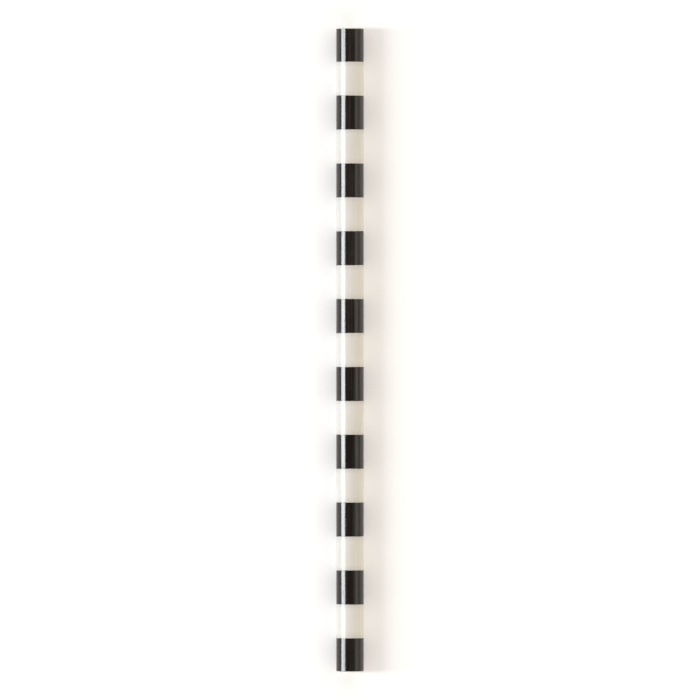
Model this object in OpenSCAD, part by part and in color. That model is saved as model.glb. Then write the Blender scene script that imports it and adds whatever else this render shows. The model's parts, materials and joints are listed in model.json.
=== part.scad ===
// Reusable drinking straw: one straight rigid tube of milky plastic, with black bands printed round it.
// It lies along Y on the plane z = 0, as it comes to rest on a table, with the middle of its length at y = 0.
// Sizes are in millimetres.

/* [Tube] */
// Length of the straw from rim to rim
straw_length = 186; // [100:1:300]
// Outer diameter of the tube
straw_od = 8; // [6:0.1:14]
// Thickness of the tube's wall
wall = 1; // [0.6:0.05:2]
// Radius that rounds the inner and outer edge of both rims
rim_round = 0.3; // [0.1:0.05:0.5]

/* [Printed bands] */
// Number of black bands, of which the first and the last end at the rims
black_bands = 10; // [2:1:18]
// Length of one black band along the straw
black_band = 9.8; // [4:0.2:16]
// Thickness of the printed film, which is pressed flush into the wall
film = 0.05; // [0.02:0.01:0.1]

/* [Hidden] */
$fn = 96;

outer_r = straw_od / 2;
bore_r = outer_r - wall;
half_length = straw_length / 2;

// A rim keeps this much flat ring between its two rounded edges
least_rim_flat = 0.1;
rim_r = min(rim_round, (wall - least_rim_flat) / 2);

// The print stops where the rim starts to curve
print_end = half_length - rim_r;
film_r = outer_r - film;

// The bare stretches between the black bands share the rest of the length, so both ends are alike
band_travel = straw_length - black_band;
band_pitch = band_travel / (black_bands - 1);
band_middles = [for (i = [0:black_bands - 1]) i * band_pitch - band_travel / 2];

// How far the recess cutter stands out of the wall
cutter_over = 1;

// Lays a piece that stands along Z, centred on the origin, on its side along Y with its underside at z = 0
module laid_on_side() {
    translate([0, 0, outer_r])
        rotate([-90, 0, 0])
            children();
}

// A plain ring about Z, between two radii and two heights
module ring(inner, outer, from, to) {
    rotate_extrude()
        translate([inner, from])
            square([outer - inner, to - from]);
}

// Half section through the wall, with round corners at both rims
module wall_section() {
    translate([bore_r, -half_length + rim_r])
        square([wall, straw_length - 2 * rim_r]);
    translate([bore_r + rim_r, -half_length])
        square([wall - 2 * rim_r, straw_length]);
    for (x = [bore_r + rim_r, outer_r - rim_r])
        for (end = [-1, 1])
            translate([x, end * (half_length - rim_r)])
                circle(r = rim_r);
}

// A ring for every black band
module band_rings(inner, outer) {
    for (middle = band_middles)
        ring(inner, outer,
            max(middle - black_band / 2, -print_end),
            min(middle + black_band / 2, print_end));
}

// The straw itself, with a shallow recess where each band of film is pressed in
module tube() {
    color("ivory")
        laid_on_side()
            difference() {
                rotate_extrude()
                    wall_section();
                band_rings(film_r, outer_r + cutter_over);
            }
}

// The black print: thin closed bands of film, flush with the tube
module printed_bands() {
    color("#1c1918")
        laid_on_side()
            band_rings(film_r, outer_r);
}

tube();
printed_bands();
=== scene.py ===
"""Dresses a rigid drinking straw: a milky plastic tube, and the black bands printed round it.

The straw lies along Y on the floor at z = 0.
Lengths are in metres, apart from the lens and the sensor of the camera.
"""

import json
import math
import random

import bmesh
import bpy
from bpy.props import FloatProperty, FloatVectorProperty, IntProperty, PointerProperty
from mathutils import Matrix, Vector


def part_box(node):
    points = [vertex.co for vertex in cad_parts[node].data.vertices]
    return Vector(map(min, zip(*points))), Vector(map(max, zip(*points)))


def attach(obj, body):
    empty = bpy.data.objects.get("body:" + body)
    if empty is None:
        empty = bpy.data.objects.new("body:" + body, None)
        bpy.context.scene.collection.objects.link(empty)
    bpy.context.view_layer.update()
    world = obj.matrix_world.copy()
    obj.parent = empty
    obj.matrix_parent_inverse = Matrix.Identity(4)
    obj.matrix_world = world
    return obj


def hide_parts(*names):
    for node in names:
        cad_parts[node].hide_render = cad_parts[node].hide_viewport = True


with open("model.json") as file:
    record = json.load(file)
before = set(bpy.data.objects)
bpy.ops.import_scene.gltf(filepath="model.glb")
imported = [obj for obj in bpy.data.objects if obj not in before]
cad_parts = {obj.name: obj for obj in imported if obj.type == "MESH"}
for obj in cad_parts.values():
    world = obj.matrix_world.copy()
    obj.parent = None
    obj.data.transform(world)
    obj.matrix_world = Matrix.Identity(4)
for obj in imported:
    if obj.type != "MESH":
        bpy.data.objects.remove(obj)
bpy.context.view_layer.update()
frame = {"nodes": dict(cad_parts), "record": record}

bl_info = {
    "name": "Banded Drinking Straw",
    "version": (1, 0, 0),
    "blender": (4, 5, 0),
    "location": "3D View > Sidebar > Straw",
    "description": "Builds a rigid milky straw with black printed bands, and the stage that it lies on",
    "category": "Object",
}

MM = 0.001
TURN = 2 * math.pi
SENSOR_MM = 36.0


# Sizes read from the frame

def radii(node):
    """How far each corner of a node lies from the straw's axis."""
    return [math.hypot(corner.co.x, corner.co.z - AXIS_Z) for corner in frame["nodes"][node].data.vertices]


def bore_radius():
    """Radius of the bore, from its mount in the record."""
    mounts = {mount["name"]: mount for mount in frame["record"]["mounts"]}
    return mounts["bore"]["dims"]["r_mm"] * MM


def band_spans():
    """Start and end of each black band along Y, from the rings of the printed node."""
    micrometre_places = 6
    fewest_edges = 6
    corners = frame["nodes"]["printed_bands"].data.vertices
    edges = sorted({round(corner.co.y, micrometre_places) for corner in corners})
    if len(edges) < fewest_edges or len(edges) % 2:
        raise RuntimeError("the printed node isn't made of at least three plain rings")
    return list(zip(edges[0::2], edges[1::2]))


TUBE_LOW, TUBE_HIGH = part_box("tube")
HALF_LENGTH = (TUBE_HIGH.y - TUBE_LOW.y) / 2
AXIS_Z = (TUBE_HIGH.z + TUBE_LOW.z) / 2
OUTER_R = max(radii("tube"))
BORE_R = bore_radius()
RECESS_R = min(radii("printed_bands"))
BANDS = band_spans()
RIM_R = HALF_LENGTH - BANDS[-1][1]

# The second band is a whole one: the rims shorten only the first and the last
WHOLE_BAND = BANDS[1]
BAND_LENGTH = WHOLE_BAND[1] - WHOLE_BAND[0]
BAND_MIDDLE = sum(WHOLE_BAND) / 2
BAND_PITCH = BANDS[2][0] - WHOLE_BAND[0]


# What a user can change

class TubeLook(bpy.types.PropertyGroup):
    """Finish of the milky plastic tube"""

    colour: FloatVectorProperty(
        name="Plastic", description="Colour of the milky plastic",
        subtype="COLOR", size=3, min=0, max=1, default=(0.79, 0.78, 0.737))
    cloud_colour: FloatVectorProperty(
        name="Cloud", description="Colour of the faint clouds in the plastic",
        subtype="COLOR", size=3, min=0, max=1, default=(0.735, 0.715, 0.66))
    # Painted shade: the colour that darkens the plastic beside and behind the print, where the print keeps
    # light out of the wall
    painted_print_shade: FloatVectorProperty(
        name="Print shade", description="Colour where the black print shows through the wall",
        subtype="COLOR", size=3, min=0, max=1, default=(0.26, 0.235, 0.20))
    light_depth: FloatProperty(
        name="Light depth", description="How far light travels inside the plastic",
        unit="LENGTH", subtype="DISTANCE", precision=5, min=0, max=0.01, default=1.2 * MM)
    segments: IntProperty(
        name="Segments", description="Faces round the straw", min=48, max=384, default=192)


class PrintLook(bpy.types.PropertyGroup):
    """Finish of the black printed bands"""

    colour: FloatVectorProperty(
        name="Print", description="Colour of the printed film",
        subtype="COLOR", size=3, min=0, max=1, default=(0.0085, 0.0072, 0.0064))
    streak_colour: FloatVectorProperty(
        name="Streaks", description="Colour of the thinner streaks in the film",
        subtype="COLOR", size=3, min=0, max=1, default=(0.034, 0.029, 0.026))
    pinhole_colour: FloatVectorProperty(
        name="Pinholes", description="Colour of the plastic that shows in the film's pinholes",
        subtype="COLOR", size=3, min=0, max=1, default=(0.42, 0.38, 0.32))
    proud: FloatProperty(
        name="Proud", description="How far the film stands out of the bare wall",
        unit="LENGTH", subtype="DISTANCE", precision=6, min=0, max=0.0001, default=0.008 * MM)
    skew: FloatProperty(
        name="Skew", description="How far out of square a band's edge may run",
        unit="LENGTH", subtype="DISTANCE", precision=6, min=0, max=0.0005, default=0.05 * MM)
    ragged: FloatProperty(
        name="Ragged", description="How uneven a band's edge is",
        unit="LENGTH", subtype="DISTANCE", precision=6, min=0, max=0.0002, default=0.012 * MM)
    seed: IntProperty(name="Seed", description="Picks the unevenness of the print", default=7)


class StageLook(bpy.types.PropertyGroup):
    """Floor, lamp, room and camera"""

    floor_colour: FloatVectorProperty(
        name="Floor", description="Colour of the floor",
        subtype="COLOR", size=3, min=0, max=1, default=(0.90, 0.90, 0.90))
    key_colour: FloatVectorProperty(
        name="Key", description="Colour of the lamp on the left",
        subtype="COLOR", size=3, min=0, max=1, default=(0.97, 0.99, 1.0))
    left_wall: FloatVectorProperty(
        name="Left wall", description="Colour of the room on the left",
        subtype="COLOR", size=3, min=0, max=1, default=(0.50, 0.515, 0.54))
    right_wall: FloatVectorProperty(
        name="Right wall", description="Colour of the room on the right",
        subtype="COLOR", size=3, min=0, max=1, default=(1.0, 0.895, 0.765))
    key_level: FloatProperty(
        name="Key level", description="Brightness of the lamp on the left", min=0, default=16.2)
    room_level: FloatProperty(
        name="Room level", description="Brightness of the room's pale walls", min=0, default=1.45)
    ends_level: FloatProperty(
        name="Ends level",
        description="Brightness of the walls past the straw's ends, as a multiple of the other walls'",
        min=0, default=1.6)
    horizon_share: FloatProperty(
        name="Horizon share", description="Brightness of the walls' foot as a share of their brightest",
        subtype="FACTOR", min=0, max=1, default=0.35)
    overhead_level: FloatProperty(
        name="Overhead level", description="Brightness of the room straight above", min=0, default=0.14)
    lens: FloatProperty(
        name="Lens", description="Focal length of the camera in millimetres", min=20, max=1200, default=600)
    height_share: FloatProperty(
        name="Height share", description="Share of the picture's height that the straw fills",
        subtype="FACTOR", min=0.2, max=1, default=0.92)


# Meshes

def edge_waves(look, edge):
    """The waves of a band's edge: a slow one for the skew, and quick ones for the ragged line."""
    ragged_turns = (3, 7, 16, 29, 43)
    seed_step = 1000
    dice = random.Random(look.seed * seed_step + edge)
    waves = [(1, look.skew * dice.uniform(0.3, 1.0), dice.uniform(0, TURN))]
    for turns in ragged_turns:
        size = look.ragged * dice.uniform(0.4, 1.0) / math.sqrt(turns)
        waves.append((turns, size, dice.uniform(0, TURN)))
    return waves


def edge_shifts(look):
    """One function of the angle for each edge of the print, which the recess and the film both follow."""
    last = 2 * len(BANDS) - 1

    def follow(waves):
        return lambda angle: sum(size * math.sin(turns * angle + start) for turns, size, start in waves)

    def still(angle):
        return 0.0

    return [still if edge in (0, last) else follow(edge_waves(look, edge)) for edge in range(last + 1)]


def arc(middle, radius, start, end, steps):
    """Points (along, radius) on an arc round the middle, from one angle to the other in degrees."""
    points = []
    for step in range(steps + 1):
        angle = math.radians(start + (end - start) * step / steps)
        points.append((middle[0] + radius * math.sin(angle), middle[1] + radius * math.cos(angle)))
    return points


def straight(start, end, radius, spacing, guard=0.0):
    """Points (along, radius) between two places, about one spacing apart and without those places.

    A guard adds a point close to each place, which keeps the shading of a round corner off the straight.
    """
    way = 1 if end > start else -1
    steps = max(1, round(abs(end - start) / spacing))
    places = [start + (end - start) * step / steps for step in range(1, steps)]
    if guard:
        places = [start + way * guard, *places, end - way * guard]
    return [(place, radius) for place in places]


def rings_of(points, shift=None):
    """Rings through points (along, radius). A shift is a function of the angle that moves a ring along."""
    return [(along, radius, shift) for along, radius in points]


def add_loop_of_rings(mesh, rings, segments):
    """Turns a closed section of rings into faces. A ring is (along, radius, shift or None)."""
    loops = []
    for along, radius, shift in rings:
        loop = []
        for segment in range(segments):
            angle = TURN * segment / segments
            place = along + (shift(angle) if shift else 0.0)
            loop.append(mesh.verts.new((
                radius * math.sin(angle),
                place,
                AXIS_Z + radius * math.cos(angle),
            )))
        loops.append(loop)
    for index, loop in enumerate(loops):
        following = loops[(index + 1) % len(loops)]
        for segment in range(segments):
            beside = (segment + 1) % segments
            mesh.faces.new((loop[segment], loop[beside], following[beside], following[segment]))


def finished_piece(name, mesh, material, node):
    """Makes the object, shades it smooth between its real edges, and puts it in the place of its node."""
    sharp_bend = math.radians(36)
    data = bpy.data.meshes.new(name)
    bmesh.ops.recalc_face_normals(mesh, faces=mesh.faces)
    mesh.to_mesh(data)
    mesh.free()
    data.shade_smooth()
    data.set_sharp_from_angle(angle=sharp_bend)
    data.materials.append(material)
    piece = bpy.data.objects.new(name, data)
    bpy.context.scene.collection.objects.link(piece)
    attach(piece, "root")
    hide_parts(node)


def tube_section(look):
    """Rings of the whole wall, round by the outside, the far rim, the bore and the near rim."""
    wall_spacing = 1.6 * MM
    bore_spacing = 3.0 * MM
    guard = 0.03 * MM
    rim_steps = 9
    shifts = edge_shifts(look)
    wall_r = OUTER_R - look.proud
    outer_middle = wall_r - RIM_R
    inner_middle = BORE_R + RIM_R
    near_y = -HALF_LENGTH + RIM_R
    far_y = HALF_LENGTH - RIM_R

    rings = rings_of(arc((near_y, outer_middle), RIM_R, -90, 0, rim_steps))
    for band, (start, end) in enumerate(BANDS):
        enter, leave = shifts[2 * band], shifts[2 * band + 1]
        rings.append((start, RECESS_R, enter))
        rings += rings_of(straight(start, end, RECESS_R, wall_spacing))
        rings.append((end, RECESS_R, leave))
        if band + 1 < len(BANDS):
            following, enter_following = BANDS[band + 1][0], shifts[2 * band + 2]
            rings += rings_of([(end, wall_r), (end + guard, wall_r)], leave)
            rings += rings_of(straight(end, following, wall_r, wall_spacing))
            rings += rings_of([(following - guard, wall_r), (following, wall_r)], enter_following)
    rings += rings_of(arc((far_y, outer_middle), RIM_R, 0, 90, rim_steps))
    rings += rings_of([(HALF_LENGTH, outer_middle - guard), (HALF_LENGTH, inner_middle + guard)])
    rings += rings_of(arc((far_y, inner_middle), RIM_R, 90, 180, rim_steps))
    rings += rings_of(straight(far_y, near_y, BORE_R, bore_spacing, guard))
    rings += rings_of(arc((near_y, inner_middle), RIM_R, 180, 270, rim_steps))
    rings += rings_of([(-HALF_LENGTH, inner_middle + guard), (-HALF_LENGTH, outer_middle - guard)])
    return rings


def film_section(look, band):
    """Rings of one band of film, round by its outside and back along the recess."""
    spacing = 1.6 * MM
    guard = 0.02 * MM
    corner_r = 0.02 * MM
    corner_steps = 4
    start, end = BANDS[band]
    shifts = edge_shifts(look)
    enter, leave = shifts[2 * band], shifts[2 * band + 1]
    corner_middle = OUTER_R - corner_r
    rings = [(start, RECESS_R, enter)]
    rings += rings_of(arc((start + corner_r, corner_middle), corner_r, -90, 0, corner_steps), enter)
    rings.append((start + corner_r + guard, OUTER_R, enter))
    rings += rings_of(straight(start, end, OUTER_R, spacing))
    rings.append((end - corner_r - guard, OUTER_R, leave))
    rings += rings_of(arc((end - corner_r, corner_middle), corner_r, 0, 90, corner_steps), leave)
    rings.append((end, RECESS_R, leave))
    return rings


# Node helpers

def put(tree, kind, inputs=None, **options):
    """Adds a node, sets its options, and links or sets each input that is given."""
    node = tree.nodes.new(kind)
    for name, value in options.items():
        setattr(node, name, value)
    for name, value in (inputs or {}).items():
        if isinstance(value, bpy.types.NodeSocket):
            tree.links.new(value, node.inputs[name])
        else:
            node.inputs[name].default_value = value
    return node


def mixed(tree, factor, first, second):
    """A colour between two others. Each is a socket or a plain colour."""
    factor_in, first_in, second_in, colour_out = 0, 6, 7, 2
    node = put(tree, "ShaderNodeMix", data_type="RGBA", clamp_factor=True)
    for index, value in ((factor_in, factor), (first_in, first), (second_in, second)):
        if isinstance(value, bpy.types.NodeSocket):
            tree.links.new(value, node.inputs[index])
        elif index == factor_in:
            node.inputs[index].default_value = value
        else:
            node.inputs[index].default_value = (*value, 1.0)
    return node.outputs[colour_out]


def ranged(tree, value, low, high, to_low, to_high, smooth=False):
    """Maps a value from one range to another and holds it there."""
    node = put(
        tree, "ShaderNodeMapRange",
        {"Value": value, "From Min": low, "From Max": high, "To Min": to_low, "To Max": to_high},
        interpolation_type="SMOOTHSTEP" if smooth else "LINEAR")
    return node.outputs["Result"]


def maths(tree, operation, first, second=0.0):
    """One step of arithmetic on two values, each a socket or a number."""
    node = put(tree, "ShaderNodeMath", {0: first, 1: second}, operation=operation)
    return node.outputs["Value"]


def new_group(name, inputs, outputs):
    """A shader node group with named sockets. Each is (name, kind, default or None)."""
    group = bpy.data.node_groups.new(name, "ShaderNodeTree")
    for side, sockets in (("INPUT", inputs), ("OUTPUT", outputs)):
        for socket_name, kind, default in sockets:
            socket = group.interface.new_socket(socket_name, in_out=side, socket_type=kind)
            if default is not None:
                socket.default_value = default
    return group, group.nodes.new("NodeGroupInput"), group.nodes.new("NodeGroupOutput")


def lengthwise_lines_group():
    """Fine lines along the straw, as drawing through a die leaves them."""
    name = "Lengthwise Lines"
    if name in bpy.data.node_groups:
        return bpy.data.node_groups[name]
    group, given, result = new_group(
        name,
        [("Vector", "NodeSocketVector", None),
         ("Lines", "NodeSocketFloat", 900.0),
         ("Stretch", "NodeSocketFloat", 0.02)],
        [("Height", "NodeSocketFloat", None)])
    stretch = put(group, "ShaderNodeCombineXYZ", {"X": 1.0, "Y": given.outputs["Stretch"], "Z": 1.0})
    drawn = put(
        group, "ShaderNodeVectorMath", {0: given.outputs["Vector"], 1: stretch.outputs["Vector"]},
        operation="MULTIPLY")
    noise = put(
        group, "ShaderNodeTexNoise",
        {"Vector": drawn.outputs["Vector"], "Scale": given.outputs["Lines"],
         "Detail": 3.0, "Roughness": 0.6, "Distortion": 0.0})
    group.links.new(ranged(group, noise.outputs["Fac"], 0.3, 0.7, 0.0, 1.0), result.inputs["Height"])
    return group


def fine_scuffs_group():
    """Short hair-fine rubs from handling, in loose patches."""
    name = "Fine Scuffs"
    if name in bpy.data.node_groups:
        return bpy.data.node_groups[name]
    group, given, result = new_group(
        name,
        [("Vector", "NodeSocketVector", None),
         ("Scale", "NodeSocketFloat", 2200.0),
         ("Patches", "NodeSocketFloat", 160.0)],
        [("Mask", "NodeSocketFloat", None)])
    rubs = None
    for turn in ((0.4, 0.9, 0.2), (1.1, 0.3, 1.9)):
        turned = put(
            group, "ShaderNodeMapping",
            {"Vector": given.outputs["Vector"], "Rotation": turn, "Scale": (1.0, 0.05, 1.0)})
        noise = put(
            group, "ShaderNodeTexNoise",
            {"Vector": turned.outputs["Vector"], "Scale": given.outputs["Scale"], "Detail": 1.0})
        line = ranged(group, noise.outputs["Fac"], 0.66, 0.72, 0.0, 1.0)
        rubs = maths(group, "MAXIMUM", rubs, line) if rubs else line
    patches = put(
        group, "ShaderNodeTexNoise",
        {"Vector": given.outputs["Vector"], "Scale": given.outputs["Patches"], "Detail": 2.0})
    where = ranged(group, patches.outputs["Fac"], 0.48, 0.62, 0.0, 1.0, smooth=True)
    group.links.new(maths(group, "MULTIPLY", rubs, where), result.inputs["Mask"])
    return group


def effect(tree, group, vector, values):
    """Places an effect's node group in a material, with its own values."""
    return put(tree, "ShaderNodeGroup", {"Vector": vector, **values}, node_tree=group)


def emptied_tree(owner):
    """The node tree of a material or a world, with nothing in it."""
    owner.use_nodes = True
    owner.node_tree.nodes.clear()
    return owner.node_tree


def new_material(name):
    """A material that holds only its shader and output."""
    material = bpy.data.materials.new(name)
    tree = emptied_tree(material)
    shader = put(tree, "ShaderNodeBsdfPrincipled")
    output = put(tree, "ShaderNodeOutputMaterial")
    tree.links.new(shader.outputs["BSDF"], output.inputs["Surface"])
    return material, tree, shader


def set_plain(shader, values):
    """Sets the shader's own sockets."""
    for name, value in values.items():
        shader.inputs[name].default_value = value


# Materials

LINE_DEPTH = 0.008 * MM
PLASTIC_IOR = 1.5


def milky_plastic(look):
    """Milky ivory plastic, with drawing lines, clouds, sawn rims, and painted shade beside and behind the
    print, where the print keeps light out of the wall.
    """
    most_cloud, most_line = 0.6, 0.7
    painted_shade_beside, painted_shade_behind = 0.16, 0.85
    reach_outside, reach_inside = 1.8 * MM, 1.4 * MM
    skin = 0.2 * MM
    rim_paleness, rim_dullness, rub_dullness = 0.6, 0.16, 0.16
    saw_depth = 0.8
    material, tree, shader = new_material("milky_plastic")
    place = put(tree, "ShaderNodeTexCoord").outputs["Object"]
    axes = put(tree, "ShaderNodeSeparateXYZ", {"Vector": place})
    along = axes.outputs["Y"]

    clouds = put(tree, "ShaderNodeTexNoise", {"Vector": place, "Scale": 110.0, "Detail": 3.0})
    clouded = mixed(
        tree, ranged(tree, clouds.outputs["Fac"], 0.40, 0.70, 0.0, most_cloud, smooth=True),
        look.colour, look.cloud_colour)
    lines = effect(tree, lengthwise_lines_group(), place, {"Lines": 1100.0, "Stretch": 0.015})
    groove = ranged(tree, lines.outputs["Height"], 0.0, 1.0, most_line, 0.0)
    lined = mixed(tree, groove, clouded, look.cloud_colour)

    # Painted shade: the plastic is darkened beside each band on the outside, and behind it in the bore,
    # where the print keeps light out of the wall
    # Distance from the nearest edge of the print, below zero behind the print
    from_middle = maths(tree, "PINGPONG", maths(tree, "SUBTRACT", along, BAND_MIDDLE), BAND_PITCH / 2)
    past_print = maths(tree, "SUBTRACT", from_middle, BAND_LENGTH / 2)
    outside = ranged(tree, past_print, 0.0, reach_outside, painted_shade_beside, 0.0, smooth=True)
    inside = ranged(tree, past_print, -reach_inside, reach_inside, painted_shade_behind, 0.0, smooth=True)
    height = maths(tree, "SUBTRACT", axes.outputs["Z"], AXIS_Z)
    from_axis = maths(
        tree, "SQRT",
        maths(tree, "ADD", maths(tree, "POWER", axes.outputs["X"], 2.0), maths(tree, "POWER", height, 2.0)))
    on_outside = ranged(tree, from_axis, BORE_R + skin, OUTER_R - skin, 0.0, 1.0)
    factor_in, first_in, second_in, value_out = 0, 2, 3, 0
    painted_shade_amount = put(
        tree, "ShaderNodeMix",
        {factor_in: on_outside, first_in: inside, second_in: outside},
        data_type="FLOAT").outputs[value_out]
    with_painted_shade = mixed(tree, painted_shade_amount, lined, look.painted_print_shade)

    # The sawn rims are duller and a little paler than the drawn wall
    rim = ranged(
        tree, maths(tree, "ABSOLUTE", along), HALF_LENGTH - 0.8 * RIM_R, HALF_LENGTH - 0.1 * RIM_R,
        0.0, 1.0, smooth=True)
    tree.links.new(
        mixed(tree, maths(tree, "MULTIPLY", rim, rim_paleness), with_painted_shade, look.colour),
        shader.inputs["Base Color"])

    scuffs = effect(tree, fine_scuffs_group(), place, {"Scale": 2200.0, "Patches": 160.0})
    drawn_rough = ranged(tree, lines.outputs["Height"], 0.0, 1.0, 0.33, 0.25)
    rubbed = maths(tree, "ADD", drawn_rough, maths(tree, "MULTIPLY", scuffs.outputs["Mask"], rub_dullness))
    tree.links.new(
        maths(tree, "ADD", rubbed, maths(tree, "MULTIPLY", rim, rim_dullness)), shader.inputs["Roughness"])

    saw = put(
        tree, "ShaderNodeTexWave",
        {"Vector": place, "Scale": 2400.0, "Distortion": 1.5, "Detail": 2.0, "Detail Scale": 1.5},
        wave_type="BANDS", bands_direction="X")
    sawn = maths(tree, "MULTIPLY", maths(tree, "MULTIPLY", saw.outputs["Fac"], rim), saw_depth)
    relief = maths(tree, "ADD", lines.outputs["Height"], sawn)
    bump = put(tree, "ShaderNodeBump", {"Strength": 1.0, "Distance": LINE_DEPTH, "Height": relief})
    tree.links.new(bump.outputs["Normal"], shader.inputs["Normal"])

    set_plain(shader, {
        "IOR": PLASTIC_IOR,
        "Subsurface Weight": 0.5,
        "Subsurface Radius": (1.0, 0.8, 0.6),
        "Subsurface Scale": look.light_depth,
    })
    return material


def black_print(look):
    """Glossy warm black film, with thinner streaks along the straw and a few pinholes."""
    pinhole_share = 0.025
    rub_dullness = 0.2
    material, tree, shader = new_material("black_print")
    place = put(tree, "ShaderNodeTexCoord").outputs["Object"]
    lines = effect(tree, lengthwise_lines_group(), place, {"Lines": 1400.0, "Stretch": 0.012})
    density = put(tree, "ShaderNodeTexNoise", {"Vector": place, "Scale": 320.0, "Detail": 3.0})
    streak = ranged(tree, lines.outputs["Height"], 0.35, 0.85, 0.0, 1.0)
    uneven = ranged(tree, density.outputs["Fac"], 0.4, 0.7, 0.55, 1.0)
    film = mixed(tree, maths(tree, "MULTIPLY", streak, uneven), look.colour, look.streak_colour)

    # A pinhole is a dot in the middle of a rare cell
    cells = put(tree, "ShaderNodeTexVoronoi", {"Vector": place, "Scale": 700.0}, feature="F1")
    pick = put(tree, "ShaderNodeSeparateColor", {"Color": cells.outputs["Color"]})
    rare = maths(tree, "GREATER_THAN", pick.outputs["Red"], 1.0 - pinhole_share)
    dot = ranged(tree, cells.outputs["Distance"], 0.03, 0.05, 1.0, 0.0)
    tree.links.new(
        mixed(tree, maths(tree, "MULTIPLY", rare, dot), film, look.pinhole_colour),
        shader.inputs["Base Color"])

    scuffs = effect(tree, fine_scuffs_group(), place, {"Scale": 2600.0, "Patches": 190.0})
    printed_rough = ranged(tree, lines.outputs["Height"], 0.0, 1.0, 0.19, 0.10)
    tree.links.new(
        maths(tree, "ADD", printed_rough, maths(tree, "MULTIPLY", scuffs.outputs["Mask"], rub_dullness)),
        shader.inputs["Roughness"])
    bump = put(
        tree, "ShaderNodeBump",
        {"Strength": 1.0, "Distance": LINE_DEPTH, "Height": lines.outputs["Height"]})
    tree.links.new(bump.outputs["Normal"], shader.inputs["Normal"])
    set_plain(shader, {"IOR": PLASTIC_IOR})
    return material


def pale_floor(look):
    """A plain pale floor, which reads white to the camera where no shadow falls."""
    seen_glow = 0.25
    material = bpy.data.materials.new("pale_floor")
    tree = emptied_tree(material)
    lit = put(tree, "ShaderNodeBsdfDiffuse", {"Color": (*look.floor_colour, 1.0)})
    path = put(tree, "ShaderNodeLightPath")
    seen = maths(
        tree, "MAXIMUM",
        maths(tree, "MAXIMUM", path.outputs["Is Camera Ray"], path.outputs["Is Glossy Ray"]),
        path.outputs["Is Transmission Ray"])
    lift = put(
        tree, "ShaderNodeEmission",
        {"Color": (*look.floor_colour, 1.0), "Strength": maths(tree, "MULTIPLY", seen, seen_glow)})
    both = put(tree, "ShaderNodeAddShader", {0: lit.outputs["BSDF"], 1: lift.outputs["Emission"]})
    output = put(tree, "ShaderNodeOutputMaterial")
    tree.links.new(both.outputs["Shader"], output.inputs["Surface"])
    return material


# Stage

def add_floor(look):
    """A wide floor at the height that the straw lies on."""
    half_side = 8.0
    mesh = bmesh.new()
    corners = [
        mesh.verts.new((x * half_side, y * half_side, 0))
        for x, y in ((-1, -1), (1, -1), (1, 1), (-1, 1))
    ]
    mesh.faces.new(corners)
    data = bpy.data.meshes.new("floor")
    mesh.to_mesh(data)
    mesh.free()
    data.materials.append(pale_floor(look))
    floor = bpy.data.objects.new("floor", data)
    bpy.context.scene.collection.objects.link(floor)


def camera_distance(look):
    """How far the camera stands from the straw's axis, so that the straw fills its share of the picture."""
    return 2 * HALF_LENGTH / look.height_share * look.lens / SENSOR_MM


def add_key_lamp(look):
    """A soft lamp on the left, long enough to draw its bright line past both ends of the straw."""
    watts_for_level = 4.0
    from_vertical = math.radians(-59)
    width_seen = math.radians(34)
    distance = 6.0
    straws_long = 1.72
    line_length = straws_long * 2 * HALF_LENGTH
    lamp = bpy.data.lights.new("key_left", "AREA")
    lamp.shape = "RECTANGLE"
    lamp.size = 2 * distance * math.tan(width_seen / 2)
    lamp.size_y = line_length * (1 + distance / camera_distance(look))
    lamp.energy = watts_for_level * look.key_level * lamp.size * lamp.size_y
    lamp.color = look.key_colour
    softbox = bpy.data.objects.new("key_left", lamp)
    softbox.location = (
        distance * math.sin(from_vertical), 0.0, AXIS_Z + distance * math.cos(from_vertical))
    softbox.rotation_euler = (0.0, from_vertical, 0.0)
    softbox.visible_camera = False
    bpy.context.scene.collection.objects.link(softbox)


def light_room(look):
    """A pale room: warmer on the right, brighter past the straw's ends, and dim overhead and low down."""
    white = (1.0, 1.0, 1.0)
    world = bpy.data.worlds.new("room")
    bpy.context.scene.world = world
    tree = emptied_tree(world)
    direction = put(tree, "ShaderNodeTexCoord").outputs["Generated"]
    axes = put(tree, "ShaderNodeSeparateXYZ", {"Vector": direction})
    rise = axes.outputs["Z"]
    walls = maths(
        tree, "MULTIPLY",
        ranged(tree, rise, 0.62, 0.88, look.room_level, 0.0, smooth=True),
        ranged(tree, rise, 0.10, 0.50, look.horizon_share, 1.0, smooth=True))
    past_ends = ranged(
        tree, maths(tree, "ABSOLUTE", axes.outputs["Y"]), 0.35, 0.8, 1.0, look.ends_level, smooth=True)
    level = maths(tree, "MAXIMUM", maths(tree, "MULTIPLY", walls, past_ends), look.overhead_level)
    tone = mixed(
        tree, ranged(tree, axes.outputs["X"], -0.7, 0.7, 0.0, 1.0, smooth=True),
        look.left_wall, look.right_wall)

    # The lowest strip of the walls is white like the floor, so that low views show no dark edge
    foot = ranged(tree, rise, 0.02, 0.08, 1.0, 0.0, smooth=True)
    background = put(
        tree, "ShaderNodeBackground",
        {"Color": mixed(tree, foot, tone, white), "Strength": maths(tree, "MAXIMUM", level, foot)})
    output = put(tree, "ShaderNodeOutputWorld")
    tree.links.new(background.outputs["Background"], output.inputs["Surface"])


def add_camera(look):
    """A camera straight above the straw, which stands upright in the picture."""
    nearest_seen = 0.01
    lens = bpy.data.cameras.new("camera")
    lens.sensor_width = SENSOR_MM
    lens.lens = look.lens
    lens.clip_start = nearest_seen
    camera = bpy.data.objects.new("camera", lens)
    camera.location = (0.0, 0.0, AXIS_Z + camera_distance(look))
    bpy.context.scene.collection.objects.link(camera)
    bpy.context.scene.camera = camera


# Operators

class STRAW_OT_tube(bpy.types.Operator):
    """Build the milky tube in the place of its solid"""

    bl_idname = "straw.tube"
    bl_label = "Build Tube"

    def execute(self, context):
        look = context.scene.straw_tube_look
        mesh = bmesh.new()
        add_loop_of_rings(mesh, tube_section(context.scene.straw_print_look), look.segments)
        finished_piece("straw_tube", mesh, milky_plastic(look), "tube")
        return {"FINISHED"}


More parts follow.
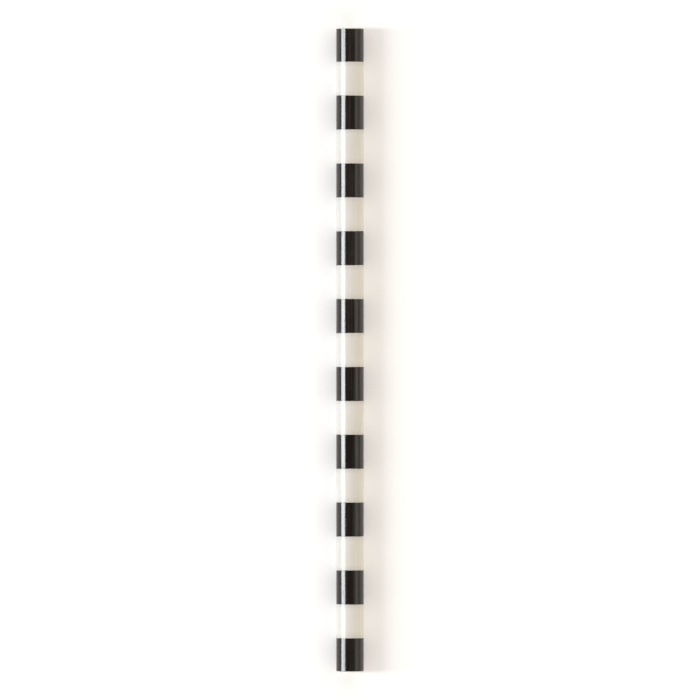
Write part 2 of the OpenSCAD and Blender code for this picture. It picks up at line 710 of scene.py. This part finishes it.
class STRAW_OT_bands(bpy.types.Operator):
    """Build the bands of printed film in the place of their solids"""

    bl_idname = "straw.bands"
    bl_label = "Build Printed Bands"

    def execute(self, context):
        look = context.scene.straw_print_look
        mesh = bmesh.new()
        for band in range(len(BANDS)):
            add_loop_of_rings(mesh, film_section(look, band), context.scene.straw_tube_look.segments)
        finished_piece("black_bands", mesh, black_print(look), "printed_bands")
        return {"FINISHED"}


class STRAW_OT_stage(bpy.types.Operator):
    """Build the floor, the lamp, the room and the camera"""

    bl_idname = "straw.stage"
    bl_label = "Build Stage"

    def execute(self, context):
        look = context.scene.straw_stage_look
        add_floor(look)
        add_key_lamp(look)
        light_room(look)
        add_camera(look)
        context.scene.view_settings.view_transform = "Standard"
        return {"FINISHED"}


class STRAW_PT_panel(bpy.types.Panel):
    """The straw's sizes, colours and steps"""

    bl_idname = "STRAW_PT_panel"
    bl_label = "Drinking Straw"
    bl_space_type = "VIEW_3D"
    bl_region_type = "UI"
    bl_category = "Straw"

    def draw(self, context):
        scene = context.scene
        for title, look, step in (
            ("Tube", scene.straw_tube_look, STRAW_OT_tube),
            ("Printed bands", scene.straw_print_look, STRAW_OT_bands),
            ("Stage", scene.straw_stage_look, STRAW_OT_stage),
        ):
            box = self.layout.box()
            box.label(text=title)
            for name in look.__annotations__:
                box.prop(look, name)
            box.operator(step.bl_idname)


CLASSES = (TubeLook, PrintLook, StageLook, STRAW_OT_tube, STRAW_OT_bands, STRAW_OT_stage, STRAW_PT_panel)
LOOKS = {
    "straw_tube_look": TubeLook,
    "straw_print_look": PrintLook,
    "straw_stage_look": StageLook,
}


def register():
    for listed in CLASSES:
        bpy.utils.register_class(listed)
    for name, look in LOOKS.items():
        setattr(bpy.types.Scene, name, PointerProperty(type=look))


def unregister():
    for name in LOOKS:
        delattr(bpy.types.Scene, name)
    for listed in reversed(CLASSES):
        bpy.utils.unregister_class(listed)


def main():
    register()
    bpy.ops.straw.stage()
    bpy.ops.straw.tube()
    bpy.ops.straw.bands()


if __name__ == "__main__":
    main()
